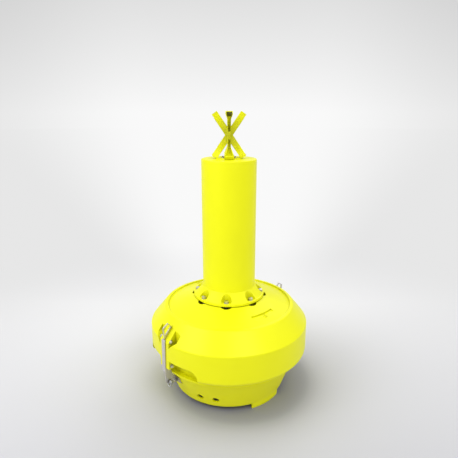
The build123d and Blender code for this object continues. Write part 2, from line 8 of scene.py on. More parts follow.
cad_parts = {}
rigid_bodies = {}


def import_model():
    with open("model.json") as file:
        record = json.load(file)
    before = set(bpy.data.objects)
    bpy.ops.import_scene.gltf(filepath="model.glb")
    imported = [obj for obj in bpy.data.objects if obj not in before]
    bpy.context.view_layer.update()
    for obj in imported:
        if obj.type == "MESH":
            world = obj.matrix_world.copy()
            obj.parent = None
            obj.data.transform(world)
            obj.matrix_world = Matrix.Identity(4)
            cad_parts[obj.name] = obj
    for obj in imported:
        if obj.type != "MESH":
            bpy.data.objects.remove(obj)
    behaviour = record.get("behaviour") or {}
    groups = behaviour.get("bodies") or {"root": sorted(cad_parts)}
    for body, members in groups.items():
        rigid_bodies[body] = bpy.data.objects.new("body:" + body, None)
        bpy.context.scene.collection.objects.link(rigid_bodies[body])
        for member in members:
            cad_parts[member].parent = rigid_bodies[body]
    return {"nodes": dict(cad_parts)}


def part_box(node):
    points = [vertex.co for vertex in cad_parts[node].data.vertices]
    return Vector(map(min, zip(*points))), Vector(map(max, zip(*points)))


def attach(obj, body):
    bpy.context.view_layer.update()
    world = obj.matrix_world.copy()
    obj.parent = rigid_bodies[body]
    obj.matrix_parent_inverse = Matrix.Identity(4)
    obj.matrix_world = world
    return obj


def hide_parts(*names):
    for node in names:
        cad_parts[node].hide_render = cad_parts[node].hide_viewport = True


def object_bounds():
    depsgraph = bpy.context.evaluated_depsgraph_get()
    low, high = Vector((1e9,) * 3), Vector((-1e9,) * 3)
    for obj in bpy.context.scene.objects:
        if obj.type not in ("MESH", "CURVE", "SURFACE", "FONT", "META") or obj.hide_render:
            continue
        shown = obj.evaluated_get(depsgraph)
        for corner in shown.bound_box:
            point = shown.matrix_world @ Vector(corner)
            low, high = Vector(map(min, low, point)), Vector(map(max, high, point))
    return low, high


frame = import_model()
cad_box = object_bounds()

bl_info = {
    "name": "Navigation buoy looks",
    "version": (1, 0, 0),
    "blender": (4, 5, 0),
    "location": "3D View > Sidebar > Buoy",
    "description": "Dresses the navigation buoy with its fasteners, shackles, finishes and studio",
    "category": "Object",
}

BODY = "buoy"
SIDES = (("right", 1), ("left", -1))

# Lengths in metres and turns in degrees that more than one piece takes from the part
SKIRT_SLOPE = 0.085 / 0.234
TOPMARK_TURN = 51
TOPMARK_LEAN = 34.5
SMALL_BOLT = {
    "head": 0.0068, "radius": 0.006, "washer": 0.0105, "washer_thickness": 0.0012, "pitch": 0.00175,
}

# Studio: where the camera stands, its heading and tilt, and the levels of the pale paper
STATION = (-1.984, -2.323, 2.108)
HEADING = math.radians(40.5)
TILT = math.radians(74.56)
PAPER_LEVEL = 0.95
FLOOR_BOUNCE = 0.9
DOME_LOW = 0.36
DOME_HIGH = 0.80
LAMP_AIM = (0, 0, 0.6)
# Each lamp's name, place, size and power
LAMPS = (
    ("key", (-3.4, 1.8, 4.4), 2.6, 52.0),
    ("side", (-4.2, 0.2, 3.2), 2.6, 55.0),
    ("front", (-1.0, -3.8, 4.0), 2.6, 64.0),
    ("right", (3.2, -2.6, 4.6), 2.6, 27.0),
    ("back", (3.6, 1.6, 4.2), 2.6, 29.0),
)
nodes = frame["nodes"]


# Settings that a user would change


class BuoyColours(bpy.types.PropertyGroup):
    hull: FloatVectorProperty(
        name="Float yellow", description="Colour of the moulded float",
        default=(0.98, 0.98, 0.004), size=3, subtype="COLOR", min=0, max=1,
    )
    skirt: FloatVectorProperty(
        name="Skirt yellow", description="Colour of the moulded skirt",
        default=(0.93, 0.92, 0.004), size=3, subtype="COLOR", min=0, max=1,
    )
    topmark: FloatVectorProperty(
        name="Topmark yellow", description="Colour of the crossed topmark",
        default=(0.93, 0.93, 0.004), size=3, subtype="COLOR", min=0, max=1,
    )
    plug: FloatVectorProperty(
        name="Plug yellow", description="Colour of the filling plugs",
        default=(0.90, 0.89, 0.01), size=3, subtype="COLOR", min=0, max=1,
    )
    stainless: FloatVectorProperty(
        name="Stainless steel", description="Colour of the straps and bolts",
        default=(0.76, 0.73, 0.72), size=3, subtype="COLOR", min=0, max=1,
    )
    galvanised: FloatVectorProperty(
        name="Galvanised steel", description="Colour of the zinc on the shackles",
        default=(0.62, 0.63, 0.64), size=3, subtype="COLOR", min=0, max=1,
    )
    ballast: FloatVectorProperty(
        name="Ballast paint", description="Colour of the painted iron ballast",
        default=(0.035, 0.036, 0.04), size=3, subtype="COLOR", min=0, max=1,
    )
    # Floor colour near the buoy; its slight blue offsets the yellow light that the buoy throws on
    # it.
    floor: FloatVectorProperty(
        name="Studio floor", description="Colour of the floor close to the buoy",
        default=(0.655, 0.655, 0.685), size=3, subtype="COLOR", min=0, max=1,
    )


class BuoySizes(bpy.types.PropertyGroup):
    tower_bolt_flats: FloatProperty(
        name="Tower bolt", description="Width across flats of the tower's bolt heads",
        default=0.030, unit="LENGTH", min=0.02, max=0.032,
    )
    small_bolt_flats: FloatProperty(
        name="Skirt bolt", description="Width across flats of the skirt's and straps' foot bolts",
        default=0.018, unit="LENGTH", min=0.01, max=0.019,
    )
    strap_bolt_flats: FloatProperty(
        name="Strap bolt", description="Width across flats of the bolts across the pillars",
        default=0.024, unit="LENGTH", min=0.016, max=0.026,
    )
    topmark_bolt_flats: FloatProperty(
        name="Topmark bolt", description="Width across flats of the topmark's bolt heads",
        default=0.016, unit="LENGTH", min=0.01, max=0.017,
    )
    weld_width: FloatProperty(
        name="Weld bead", description="Width of the weld beads on the straps",
        default=0.005, unit="LENGTH", min=0.002, max=0.008,
    )
    steel_bevel: FloatProperty(
        name="Steel edge", description="Broken edge of the straps and the ballast",
        default=0.0012, unit="LENGTH", min=0.0003, max=0.003,
    )
    camera_lens: FloatProperty(
        name="Camera lens", description="Focal length on a 36 mm sensor, in millimetres",
        default=33.18, min=20, max=100,
    )


# Finishes, made from shader nodes


def effect_group(name, inputs, outputs):
    """An empty node group with named inputs and outputs; returns the group and its two ends."""
    group = bpy.data.node_groups.new(name, "ShaderNodeTree")
    for label, kind, value in inputs:
        group.interface.new_socket(label, in_out="INPUT", socket_type=kind).default_value = value
    for label, kind in outputs:
        group.interface.new_socket(label, in_out="OUTPUT", socket_type=kind)
    start = group.nodes.new("NodeGroupInput")
    end = group.nodes.new("NodeGroupOutput")
    return group, start, end


def feed(tree, socket, value):
    """Sets an input to a number, place or colour, or links it to another node's output."""
    if isinstance(value, (int, float, tuple)):
        socket.default_value = value
    else:
        tree.links.new(value, socket)


def noise_node(tree, position, scale, detail, roughness=0.5):
    node = tree.nodes.new("ShaderNodeTexNoise")
    for label, value in (
        ("Vector", position), ("Scale", scale), ("Detail", detail), ("Roughness", roughness),
    ):
        feed(tree, node.inputs[label], value)
    return node.outputs["Fac"]


def math_node(tree, operation, *values):
    node = tree.nodes.new("ShaderNodeMath")
    node.operation = operation
    for socket, value in zip(node.inputs, values):
        feed(tree, socket, value)
    return node.outputs[0]


def measure_node(tree, operation, vector, other=None):
    """A vector's length, its distance from a point or its share along a direction."""
    node = tree.nodes.new("ShaderNodeVectorMath")
    node.operation = operation
    tree.links.new(vector, node.inputs[0])
    if other:
        node.inputs[1].default_value = other
    return node.outputs["Value"]


def split_node(tree, vector):
    node = tree.nodes.new("ShaderNodeSeparateXYZ")
    tree.links.new(vector, node.inputs[0])
    return node.outputs


def range_node(tree, value, from_low, from_high, to_low, to_high, eased=False):
    """A value carried from one range to another and held at its ends."""
    node = tree.nodes.new("ShaderNodeMapRange")
    if eased:
        node.interpolation_type = "SMOOTHSTEP"
    for label, number in (
        ("Value", value), ("From Min", from_low), ("From Max", from_high),
        ("To Min", to_low), ("To Max", to_high),
    ):
        feed(tree, node.inputs[label], number)
    return node.outputs["Result"]


def mix_colour(tree, factor, first, second):
    node = tree.nodes.new("ShaderNodeMix")
    node.data_type = "RGBA"
    for place, value in ((0, factor), (6, first), (7, second)):
        feed(tree, node.inputs[place], value)
    return node.outputs[2]


def mix_shaders(tree, share, first, second):
    node = tree.nodes.new("ShaderNodeMixShader")
    for socket, output in zip(node.inputs, (share, first, second)):
        tree.links.new(output, socket)
    return node.outputs[0]


def make_patches_group():
    """Slow, soft changes of tone and gloss, as on a large moulding or a hot-dipped forging."""
    group, start, end = effect_group(
        "soft patches",
        (
            ("Position", "NodeSocketVector", (0, 0, 0)),
            ("Scale", "NodeSocketFloat", 3.0),
            ("Amount", "NodeSocketFloat", 0.03),
            ("Gloss", "NodeSocketFloat", 0.4),
            ("Gloss change", "NodeSocketFloat", 0.06),
            ("Colour", "NodeSocketColor", (0.8, 0.8, 0.8, 1)),
        ),
        (("Colour", "NodeSocketColor"), ("Roughness", "NodeSocketFloat")),
    )
    noise = noise_node(group, start.outputs["Position"], start.outputs["Scale"], 3.0, 0.55)
    share = range_node(group, noise, 0.3, 0.7, 0.0, 1.0)
    darker = group.nodes.new("ShaderNodeHueSaturation")
    group.links.new(start.outputs["Colour"], darker.inputs["Color"])
    kept = math_node(group, "SUBTRACT", 1.0, start.outputs["Amount"])
    group.links.new(kept, darker.inputs["Value"])
    colour = mix_colour(group, share, darker.outputs["Color"], start.outputs["Colour"])
    group.links.new(colour, end.inputs["Colour"])
    change = math_node(group, "MULTIPLY", share, start.outputs["Gloss change"])
    roughness = math_node(group, "ADD", start.outputs["Gloss"], change)
    group.links.new(roughness, end.inputs["Roughness"])
    return group


def make_grain_group():
    """Fine height for a Bump node: a broad ripple and a fine grain."""
    group, start, end = effect_group(
        "fine grain",
        (
            ("Position", "NodeSocketVector", (0, 0, 0)),
            ("Broad scale", "NodeSocketFloat", 30.0),
            ("Fine scale", "NodeSocketFloat", 400.0),
            ("Broad share", "NodeSocketFloat", 0.5),
        ),
        (("Height", "NodeSocketFloat"),),
    )
    position, share = start.outputs["Position"], start.outputs["Broad share"]
    ripple = noise_node(group, position, start.outputs["Broad scale"], 2.0)
    grain = noise_node(group, position, start.outputs["Fine scale"], 3.0)
    broad = math_node(group, "MULTIPLY", ripple, share)
    fine = math_node(group, "MULTIPLY", grain, math_node(group, "SUBTRACT", 1.0, share))
    group.links.new(math_node(group, "ADD", broad, fine), end.inputs["Height"])
    return group


def make_scuff_group():
    """Mask of small scuffs that gather towards the ground."""
    group, start, end = effect_group(
        "low scuffs",
        (
            ("Position", "NodeSocketVector", (0, 0, 0)),
            ("Height", "NodeSocketFloat", 0.12),
            ("Scale", "NodeSocketFloat", 60.0),
        ),
        (("Mask", "NodeSocketFloat"),),
    )
    position = start.outputs["Position"]
    height = split_node(group, position)["Z"]
    low = range_node(group, height, 0.0, start.outputs["Height"], 1.0, 0.0)
    noise = noise_node(group, position, start.outputs["Scale"], 6.0, 0.7)
    spots = range_node(group, noise, 0.56, 0.72, 0.0, 1.0)
    group.links.new(math_node(group, "MULTIPLY", low, spots), end.inputs["Mask"])
    return group


def make_recess_group():
    """Mask for painted shade: what lies close under another surface, as in recesses and corners."""
    group, start, end = effect_group(
        "recess shade",
        (("Reach", "NodeSocketFloat", 0.05), ("Depth", "NodeSocketFloat", 0.5)),
        (("Mask", "NodeSocketFloat"),),
    )
    openness = group.nodes.new("ShaderNodeAmbientOcclusion")
    openness.samples = 12
    group.links.new(start.outputs["Reach"], openness.inputs["Distance"])
    mask = range_node(group, openness.outputs["AO"], 0.12, 0.88, start.outputs["Depth"], 0.0)
    group.links.new(mask, end.inputs["Mask"])
    return group


def place_group(tree, group, **values):
    """The group as a node of a material, with values or links for its inputs."""
    node = tree.nodes.new("ShaderNodeGroup")
    node.node_tree = group
    for label, value in values.items():
        feed(tree, node.inputs[label.replace("_", " ")], value)
    return node


def start_material(name):
    """A new material with its shader and the position that its patterns read."""
    material = bpy.data.materials.new(name)
    material.use_nodes = True
    tree = material.node_tree
    shader = tree.nodes["Principled BSDF"]
    position = tree.nodes.new("ShaderNodeTexCoord").outputs["Object"]
    return material, tree, shader, position


def add_bump(tree, shader, height, strength, distance):
    bump = tree.nodes.new("ShaderNodeBump")
    bump.inputs["Strength"].default_value = strength
    bump.inputs["Distance"].default_value = distance
    tree.links.new(height, bump.inputs["Height"])
    tree.links.new(bump.outputs["Normal"], shader.inputs["Normal"])


def darken_recesses(tree, base, colour, reach, depth):
    """The base colour, with painted shade in a deeper tone of the finish's colour in recesses."""
    recess = place_group(tree, groups["recess"], Reach=reach, Depth=depth)
    deeper = (colour[0] * 0.22, colour[1] * 0.20, colour[2] * 0.18, 1)
    return mix_colour(tree, recess.outputs["Mask"], base, deeper)


def moulded_plastic(name, colour, gloss, recess, scuffs=0.0, grime_at=None):
    """Rotationally moulded plastic: an even colour, a soft gloss, a faint orange-peel skin and
    painted shade in recesses.
    """
    material, tree, shader, position = start_material(name)
    patches = place_group(
        tree, groups["patches"], Position=position, Scale=2.5, Amount=0.03,
        Gloss=gloss, Gloss_change=0.07, Colour=(*colour, 1),
    )
    base = patches.outputs["Colour"]
    if scuffs:
        mask = place_group(tree, groups["scuffs"], Position=position, Height=0.10, Scale=55.0)
        faded = (colour[0] * 0.80, colour[1] * 0.78, colour[2] + 0.10, 1)
        share = math_node(tree, "MULTIPLY", mask.outputs["Mask"], scuffs)
        base = mix_colour(tree, share, base, faded)
    # Painted shade on the topmark: darker towards the crossing of its arms.
    if grime_at:
        away = measure_node(tree, "DISTANCE", position, grime_at)
        share = range_node(tree, away, 0.02, 0.15, 0.60, 0.0)
        base = mix_colour(tree, share, base, (colour[0] * 0.34, colour[1] * 0.34, 0.004, 1))
        # Near-black painted shade on the faces marked as the channels' hollows.
        hollow = tree.nodes.new("ShaderNodeAttribute")
        hollow.attribute_name = "hollow"
        base = mix_colour(tree, hollow.outputs["Fac"], base, (0.035, 0.037, 0.005, 1))
    # Painted shade in recesses and corners.
    base = darken_recesses(tree, base, colour, *recess)
    tree.links.new(base, shader.inputs["Base Color"])
    tree.links.new(patches.outputs["Roughness"], shader.inputs["Roughness"])
    shader.inputs["Specular IOR Level"].default_value = 0.25
    grain = place_group(
        tree, groups["grain"], Position=position,
        Broad_scale=14.0, Fine_scale=260.0, Broad_share=0.7,
    )
    add_bump(tree, shader, grain.outputs["Height"], 0.12, 0.001)
    return material


def worked_steel(name, colour, gloss, grain_stretch, spangle=0.0):
    """Bare or zinc-coated steel with drawn grain or spangle, both faint, and painted shade in
    recesses.
    """
    material, tree, shader, position = start_material(name)
    patches = place_group(
        tree, groups["patches"], Position=position, Scale=26.0, Amount=0.14,
        Gloss=gloss, Gloss_change=0.14, Colour=(*colour, 1),
    )
    base = patches.outputs["Colour"]
    if spangle:
        cells = tree.nodes.new("ShaderNodeTexVoronoi")
        cells.inputs["Scale"].default_value = 190.0
        tree.links.new(position, cells.inputs["Vector"])
        tone = tree.nodes.new("ShaderNodeSeparateColor")
        tree.links.new(cells.outputs["Color"], tone.inputs[0])
        share = math_node(tree, "MULTIPLY", tone.outputs[0], spangle)
        duller = (colour[0] * 0.6, colour[1] * 0.62, colour[2] * 0.66, 1)
        base = mix_colour(tree, share, base, duller)
    # Painted shade in recesses and corners.
    base = darken_recesses(tree, base, colour, 0.05, 0.85)
    tree.links.new(base, shader.inputs["Base Color"])
    tree.links.new(patches.outputs["Roughness"], shader.inputs["Roughness"])
    shader.inputs["Metallic"].default_value = 1.0
    mapping = tree.nodes.new("ShaderNodeMapping")
    mapping.inputs["Scale"].default_value = grain_stretch
    tree.links.new(position, mapping.inputs["Vector"])
    grain = place_group(
        tree, groups["grain"], Position=mapping.outputs[0],
        Broad_scale=60.0, Fine_scale=700.0, Broad_share=0.35,
    )
    add_bump(tree, shader, grain.outputs["Height"], 0.25, 0.0004)
    return material


def painted_iron(name, colour):
    """Thick epoxy paint over rough cast iron."""
    material, tree, shader, position = start_material(name)
    patches = place_group(
        tree, groups["patches"], Position=position, Scale=12.0, Amount=0.35,
        Gloss=0.42, Gloss_change=0.2, Colour=(*colour, 1),
    )
    tree.links.new(patches.outputs["Colour"], shader.inputs["Base Color"])
    tree.links.new(patches.outputs["Roughness"], shader.inputs["Roughness"])
    grain = place_group(
        tree, groups["grain"], Position=position,
        Broad_scale=90.0, Fine_scale=420.0, Broad_share=0.6,
    )
    add_bump(tree, shader, grain.outputs["Height"], 0.5, 0.0012)
    return material


groups = {}
finishes = {}


def make_finishes(colours):
    """The node groups and the materials; a recess's painted shade is given as its reach and its
    depth of tone.
    """
    groups["patches"] = make_patches_group()
    groups["grain"] = make_grain_group()
    groups["scuffs"] = make_scuff_group()
    groups["recess"] = make_recess_group()
    crossing = (0, 0, (cad_box[1][2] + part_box("tower")[1][2]) / 2)
    hull = tuple(colours.hull)
    finishes["float"] = moulded_plastic("float plastic", hull, 0.36, (0.13, 0.62))
    finishes["tower"] = moulded_plastic("tower plastic", hull, 0.38, (0.08, 0.32))
    finishes["skirt"] = moulded_plastic(
        "skirt plastic", tuple(colours.skirt), 0.42, (0.03, 0.4), scuffs=0.35
    )
    finishes["topmark"] = moulded_plastic(
        "topmark plastic", tuple(colours.topmark), 0.45, (0.03, 0.2), grime_at=crossing
    )
    finishes["plug"] = moulded_plastic("plug plastic", tuple(colours.plug), 0.40, (0.03, 0.4))
    steel = tuple(colours.stainless)
    finishes["strap"] = worked_steel("pickled stainless", steel, 0.34, (1.0, 1.0, 0.08))
    finishes["weld"] = worked_steel("weld metal", (0.52, 0.50, 0.49), 0.40, (1.0, 1.0, 1.0))
    finishes["bolt"] = worked_steel("stainless fastener", steel, 0.26, (1.0, 1.0, 1.0))
    finishes["shackle"] = worked_steel(
        "galvanised forging", tuple(colours.galvanised), 0.40, (1.0, 1.0, 1.0), spangle=0.5
    )
    finishes["ballast"] = painted_iron("painted iron", tuple(colours.ballast))


def dress(name, finish):
    """Gives a CAD node its finish in all its material slots."""
    piece = nodes[name]
    if not piece.material_slots:
        piece.data.materials.append(finishes[finish])
    for place in piece.material_slots:
        place.material = finishes[finish]
    return piece


# Modelling by hand in edit mode


def clear_selection():
    for other in bpy.context.view_layer.objects:
        other.select_set(False)


def select_only(*pieces):
    clear_selection()
    for piece in pieces:
        piece.select_set(True)
    bpy.context.view_layer.objects.active = pieces[-1]


def named(piece, name):
    """Gives an object and its mesh one name."""
    piece.name = name
    piece.data.name = name
    return piece


def start_piece(name):
    """Names the primitive that was just added and returns it."""
    return named(bpy.context.active_object, name)


def settled_piece(name):
    """Names the primitive that was just added and puts its place and turn into its mesh."""
    piece = start_piece(name)
    select_only(piece)
    bpy.ops.object.transform_apply(location=True, rotation=True, scale=True)
    return piece


def apply_modifier(piece, kind, **settings):
    modifier = piece.modifiers.new(kind.lower(), kind)
    for label, value in settings.items():
        setattr(modifier, label, value)
    select_only(piece)
    bpy.ops.object.modifier_apply(modifier=modifier.name)


def combine(piece, operation, tool):
    """Adds the tool to the piece, cuts it away or keeps what both share; the tool is used up."""
    apply_modifier(piece, "BOOLEAN", operation=operation, solver="EXACT", object=tool)
    bpy.data.objects.remove(tool)
    return piece


def edit(piece):
    select_only(piece)
    bpy.ops.object.mode_set(mode="EDIT")
    bpy.ops.mesh.select_mode(type="VERT")
    bpy.ops.mesh.select_all(action="SELECT")


def leave_edit():
    bpy.ops.object.mode_set(mode="OBJECT")


def close_seams(merge=1e-6):
    """Merges doubles and turns the faces outwards, in edit mode."""
    bpy.ops.mesh.select_all(action="SELECT")
    bpy.ops.mesh.remove_doubles(threshold=merge)
    bpy.ops.mesh.normals_make_consistent(inside=False)


def turned(name, profile, steps=48):
    """A turned piece from an outline of (radius, height) points, spun about the Z axis."""
    clear_selection()
    bpy.ops.mesh.primitive_plane_add(size=0.001, location=(0, 0, 0))
    piece = start_piece(name)
    edit(piece)
    bpy.ops.mesh.merge(type="CENTER")
    radius, height = profile[0]
    bpy.ops.transform.translate(value=(radius, 0, height))
    for next_radius, next_height in profile[1:]:
        step = (next_radius - radius, 0, next_height - height)
        bpy.ops.mesh.extrude_region_move(TRANSFORM_OT_translate={"value": step})
        radius, height = next_radius, next_height
    bpy.ops.mesh.select_all(action="SELECT")
    bpy.ops.mesh.spin(steps=steps, angle=2 * math.pi, center=(0, 0, 0), axis=(0, 0, 1))
    close_seams()
    leave_edit()
    return piece


def prism(name, flats, low, high):
    """An upright hexagonal bar between two heights, with a flat towards +X as in the CAD."""
    clear_selection()
    bpy.ops.mesh.primitive_cylinder_add(
        vertices=6, radius=flats / math.sqrt(3), depth=high - low, location=(0, 0, (low + high) / 2)
    )
    return settled_piece(name)


def smooth(piece, degrees=32):
    select_only(piece)
    bpy.ops.object.shade_smooth_by_angle(angle=math.radians(degrees))
    return piece


def joined(name, pieces):
    """One object from several, with the first one's place."""
    select_only(*pieces)
    bpy.context.view_layer.objects.active = pieces[0]
    bpy.ops.object.join()
    return named(bpy.context.active_object, name)


def chamfered_hexagon(name, flats, low, high, both_ends):
    """A bolt head or nut: a hexagonal bar whose corners are turned off at its ends."""
    corner = flats / math.sqrt(3)
    bevel = corner - flats * 0.475
    drop = bevel * 0.55 * 1.05
    reach = corner + 0.0002
    profile = [(0, low)]
    if both_ends:
        profile += [(corner - bevel, low), (reach, low + drop)]
    else:
        profile += [(reach, low)]
    profile += [(reach, high - drop), (corner - bevel, high), (0, high)]
    bar = prism(name, flats, low, high)
    return combine(bar, "INTERSECT", turned(name + "_turned", profile, 60))


def washer_ring(name, inner, outer, low, high):
    """A washer whose edges are broken, apart from the lower one of its hole."""
    edge = min(0.0006, (high - low) / 4)
    profile = [
        (inner, low), (outer - edge, low), (outer, low + edge), (outer, high - edge),
        (outer - edge, high), (inner + edge, high), (inner, high - edge), (inner, low),
    ]
    return turned(name, profile, 48)


def threaded_shank(name, radius, low, high, thread_from, thread_to, pitch):
    """A shank with rolled thread ridges between two heights and a chamfer at its lower end."""
    depth = pitch * 0.55
    end_chamfer = 0.0015
    profile = [(0, low), (radius - end_chamfer, low)]
    height = max(low + end_chamfer, thread_from)
    profile.append((radius - depth, height))
    while height + pitch <= thread_to:
        profile.append((radius, height + pitch * 0.45))
        profile.append((radius, height + pitch * 0.55))
        profile.append((radius - depth, height + pitch))
        height += pitch
    profile += [(radius, height + depth), (radius, high), (0, high)]
    return turned(name, profile, 32)


def placed_copy(piece, name, matrix):
    """A copy with a mesh of its own, moved into place in its mesh."""
    copy = piece.copy()
    copy.data = piece.data.copy()
    named(copy, name)
    bpy.context.collection.objects.link(copy)
    copy.data.transform(matrix)
    copy.matrix_world = Matrix.Identity(4)
    return copy


def spread(piece, name, matrices):
    """Copies of a modelled piece at several places, joined into one object."""
    copies = [placed_copy(piece, f"{name}_{n}", place) for n, place in enumerate(matrices)]
    return joined(name, copies)


def fitted(piece, finish, slot, body, *replaced):
    """Gives a finished piece its finish, its body and the nodes that it stands for."""
    piece.data.materials.clear()
    piece.data.materials.append(finishes[finish])
    piece.data.polygons.foreach_set("material_index", [0] * len(piece.data.polygons))
    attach(piece, body)
    if replaced:
        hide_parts(*replaced)
    return piece


def ring_places(radius, height, count, first=0.0):
    """Places on a circle about the Z axis, the first one turned from +X."""
    return [
        Matrix.Rotation(math.radians(first + 360 / count * n), 4, "Z")
        @ Matrix.Translation((radius, 0, height))
        for n in range(count)
    ]


def side_turn(sign):
    """What turns a piece made for the right strap to its own side."""
    return Matrix.Rotation(0 if sign > 0 else math.pi, 4, "Z")


# Operators, one for each group of like pieces


class BUOY_OT_finishes(bpy.types.Operator):
    """Makes the plastic and metal finishes and gives the moulded and welded parts theirs"""

    bl_idname = "buoy.finishes"
    bl_label = "Finishes"

    def execute(self, context):
        make_finishes(context.scene.buoy_colours)
        dress("float_hull", "float")
        dress("base_skirt", "skirt")
        dress("tower", "tower")
        dress("topmark", "topmark")
        for side, _ in SIDES:
            strap = dress("strap_" + side, "strap")
            strap.modifiers.new("joined faces", "WELD").merge_threshold = 2e-5
            bevel = strap.modifiers.new("broken edges", "BEVEL")
            bevel.width = context.scene.buoy_sizes.steel_bevel
            bevel.segments = 2
            bevel.limit_method = "ANGLE"
            bevel.angle_limit = math.radians(50)
        dress("ballast_weight", "ballast")
        return {"FINISHED"}


class BUOY_OT_tower_bolts(bpy.types.Operator):
    """Bolts, washers and nuts around the tower's flange"""

    bl_idname = "buoy.tower_bolts"
    bl_label = "Tower bolts"

    def execute(self, context):
        flats = context.scene.buoy_sizes.tower_bolt_flats
        flange, thick, tall = 0.018, 0.003, 0.013
        hole, rim = 0.0102, 0.0185
        under = -flange - thick
        bolt = smooth(joined("tower_bolt", [
            chamfered_hexagon("head", flats, thick, thick + tall, False),
            washer_ring("washer", hole, rim, 0.0, thick),
            threaded_shank("shank", 0.010, -0.048, thick, -0.046, -0.022, 0.0025),
            washer_ring("low_washer", hole, rim, under, -flange),
            chamfered_hexagon("nut", flats, under - tall, under, True),
        ]))
        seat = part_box("tower")[0][2] + flange
        piece = spread(bolt, "tower_bolt_set", ring_places(0.243, seat, 8))
        bpy.data.objects.remove(bolt)
        fitted(piece, "bolt", "stainless_fasteners", BODY, "tower_bolts")
        return {"FINISHED"}


def cap_bolt(name, flats, length, head, radius, washer, washer_thickness, pitch):
    """A hexagon bolt on its washer, its seat at z = 0 and its shank downward."""
    hole = radius + 0.0002
    thread = (-length * 0.9, -length * 0.3)
    return smooth(joined(name, [
        chamfered_hexagon(name + "_head", flats, washer_thickness, washer_thickness + head, False),
        washer_ring(name + "_washer", hole, washer, 0.0, washer_thickness),
        threaded_shank(name + "_shank", radius, -length, washer_thickness, *thread, pitch),
    ]))


class BUOY_OT_base_bolts(bpy.types.Operator):
    """Bolts of the skirt's inner ring and of the ballast, seen from below"""

    bl_idname = "buoy.base_bolts"
    bl_label = "Base bolts"

    def execute(self, context):
        sizes = context.scene.buoy_sizes
        under = Matrix.Rotation(math.pi, 4, "X")
        ring_thickness = 0.016
        ring_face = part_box("float_hull")[0][2] - ring_thickness
        ballast_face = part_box("ballast_weight")[0][2]
        skirt_bolt = cap_bolt("skirt_bolt", sizes.small_bolt_flats, 0.016, **SMALL_BOLT)
        places = [place @ under for place in ring_places(0.4765, ring_face, 8, first=22.5)]
        piece = spread(skirt_bolt, "skirt_bolt_set", places)
        bpy.data.objects.remove(skirt_bolt)
        fitted(piece, "bolt", "stainless_fasteners", BODY, "skirt_bolts")
        ballast_bolt = cap_bolt(
            "ballast_bolt", sizes.tower_bolt_flats, 0.040,
            head=0.0105, radius=0.010, washer=0.019, washer_thickness=0.0025, pitch=0.0025,
        )
        places = [place @ under for place in ring_places(0.150, ballast_face, 4, first=45)]
        piece = spread(ballast_bolt, "ballast_bolt_set", places)
        bpy.data.objects.remove(ballast_bolt)
        fitted(piece, "bolt", "stainless_fasteners", BODY, "ballast_bolts")
        return {"FINISHED"}


def pick(piece, chosen):
    """Selects, in edit mode, the vertices whose place passes the test."""
    bpy.ops.mesh.select_all(action="DESELECT")
    leave_edit()
    for vertex in piece.data.vertices:
        vertex.select = chosen(vertex.co)
    bpy.ops.object.mode_set(mode="EDIT")


def flared_block(name, near, far, half, flare_half, low, knee, high):
    """A block along Z between two X faces; beyond its knee it widens in Y towards its end."""
    clear_selection()
    bpy.ops.mesh.primitive_cube_add(size=1)
    block = start_piece(name)
    edit(block)
    bpy.ops.transform.resize(value=(far - near, 2 * half, abs(knee - low)))
    bpy.ops.transform.translate(value=((far + near) / 2, 0, (knee + low) / 2))
    way = 1 if high > low else -1
    pick(block, lambda place: (place.z - (knee + low) / 2) * way > 0)
    bpy.ops.mesh.extrude_region_move(TRANSFORM_OT_translate={"value": (0, 0, high - knee)})
    bpy.ops.transform.resize(value=(1, flare_half / half, 1), center_override=(0, 0, high))
    close_seams()
    leave_edit()
    return block


def shade_hollows(piece, arms, reach):
    """Marks the inner faces of the channels for near-black painted shade, most strongly towards
    their top ends.
    """
    deep, floor_deep, flare = 0.0215, 0.0197, 0.036
    inverses = [arm.inverted() for arm in arms]
    shares = []
    for face in piece.data.polygons:
        share = 0.0
        for inverse in inverses:
            place = inverse @ face.center
            along = abs(place.z)
            knee = reach - flare if place.z > 0 else 0.112
            half = 0.0097 + 0.0122 * min(1.0, max(0.0, along - knee) / flare)
            if abs(place.x) < deep and 0.03 < along < reach - 0.002 and abs(place.y) < half:
                facing = (inverse.to_3x3() @ face.normal).x
                if abs(facing) < 0.5 or abs(place.x) < floor_deep:
                    share = max(share, 0.04 + 0.90 * min(1.0, max(0.0, place.z - 0.12) / 0.045))
        shares.append(share)
    mark = piece.data.attributes.new("hollow", "FLOAT", "FACE")
    mark.data.foreach_set("value", shares)


